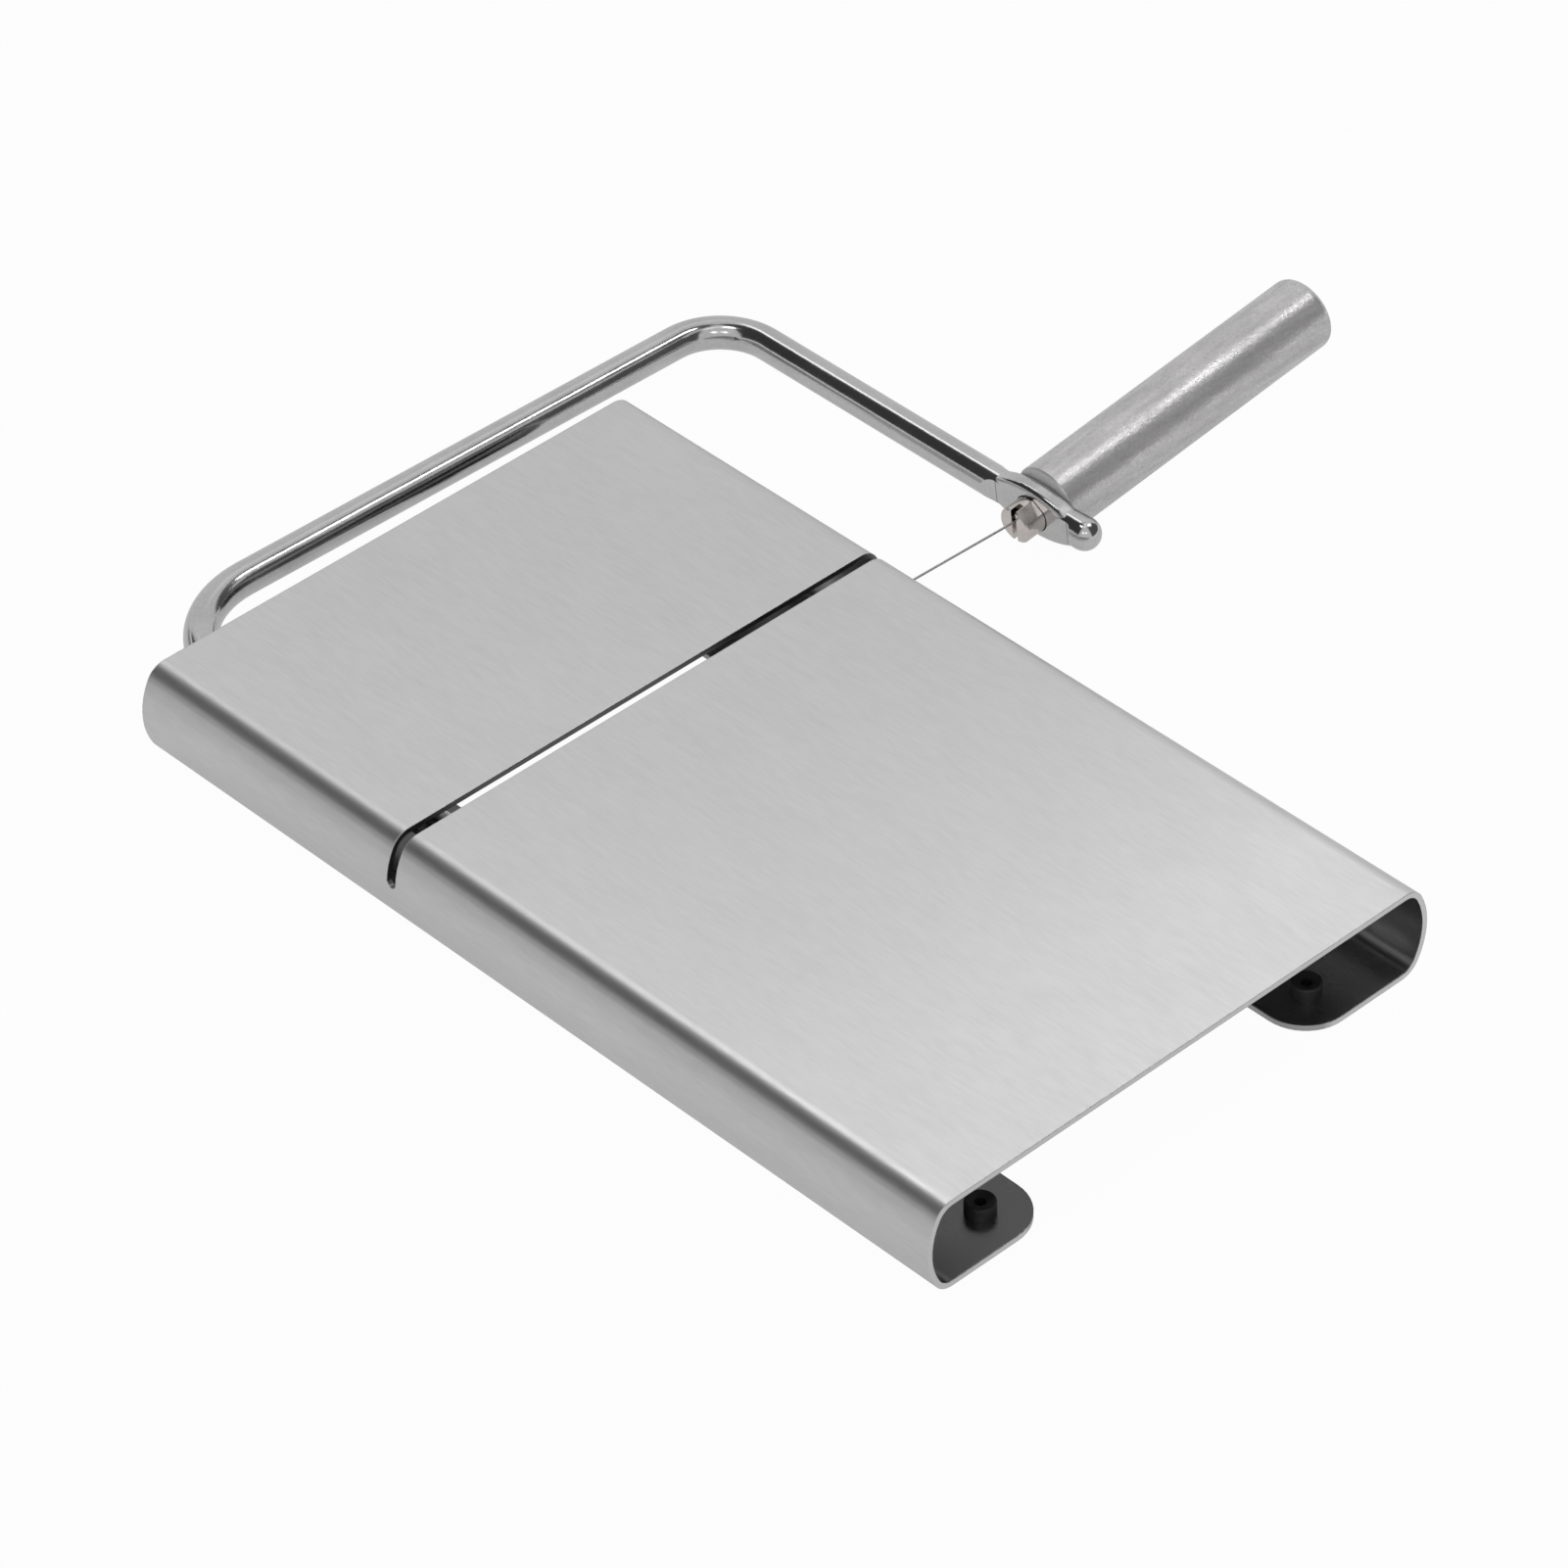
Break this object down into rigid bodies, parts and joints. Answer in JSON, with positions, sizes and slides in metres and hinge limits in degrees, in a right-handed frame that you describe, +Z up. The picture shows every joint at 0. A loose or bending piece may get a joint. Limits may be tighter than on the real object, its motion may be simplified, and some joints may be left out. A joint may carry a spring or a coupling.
{
  "type": "cheese slicer",
  "caption": "Wire cheese slicer: a bent sheet-steel board with a cutting slot, and a swinging bow whose thin wire is tightened by turning its handle.",
  "frame": {"origin": "middle of the whole slicer's box in plan, on the table plane under its feet, with the bow at rest", "axes": "+X along the board's rolled edges, from the end where the bow comes out to the plain end; +Y across the board towards the handle; +Z up"},
  "size_m": [0.238, 0.25, 0.027],
  "materials": {
    "satin_steel": "satin, fine lines along the rolled edges",
    "polished_steel": "mirror-polished stainless steel",
    "handle_steel": "fine satin, half-glossy",
    "nickel": "nickel-plated brass, warm and glossy",
    "black_rubber": "matt",
    "white_nylon": "matt",
    "brass_yellow": "plain turned brass"
  },
  "bodies": {
    "board": {"board_shell": "satin_steel", "far_bracket": "satin_steel", "near_bracket": "satin_steel", "far_bush": "white_nylon", "near_bush": "white_nylon", "foot_far_left": "black_rubber", "foot_far_right": "black_rubber", "foot_near_left": "black_rubber", "foot_near_right": "black_rubber"},
    "bow": {"bow_rod": "polished_steel", "far_clip": "polished_steel", "near_clip": "polished_steel", "cutting_wire": "polished_steel", "axle_wire_stop": "brass_yellow", "pin_wire_stop": "brass_yellow"},
    "handle": {"handle_sleeve": "handle_steel", "handle_nut": "handle_steel"},
    "pin": {"tension_pin": "nickel"}
  },
  "joints": [
    {"name": "bow_swing", "type": "hinge", "parent": "board", "child": "bow", "pos_m": [-0.0238, -0.10694, 0.0133], "axis": [1, 0, 0], "range_deg": [0, 175]},
    {"name": "handle_spin", "type": "hinge", "parent": "bow", "child": "handle", "pos_m": [-0.0238, 0.04686, 0.01008], "axis": [0, 0.993, 0.1184], "range_deg": [0, 1440]},
    {"name": "pin_slide", "type": "slide", "parent": "bow", "child": "pin", "axis": [0, 0.993, 0.1184], "range_m": [-0.005, 0]}
  ],
  "couplings": [
    {"joint": "pin_slide", "follows": "handle_spin", "m_per_rad": -0.00019894}
  ]
}
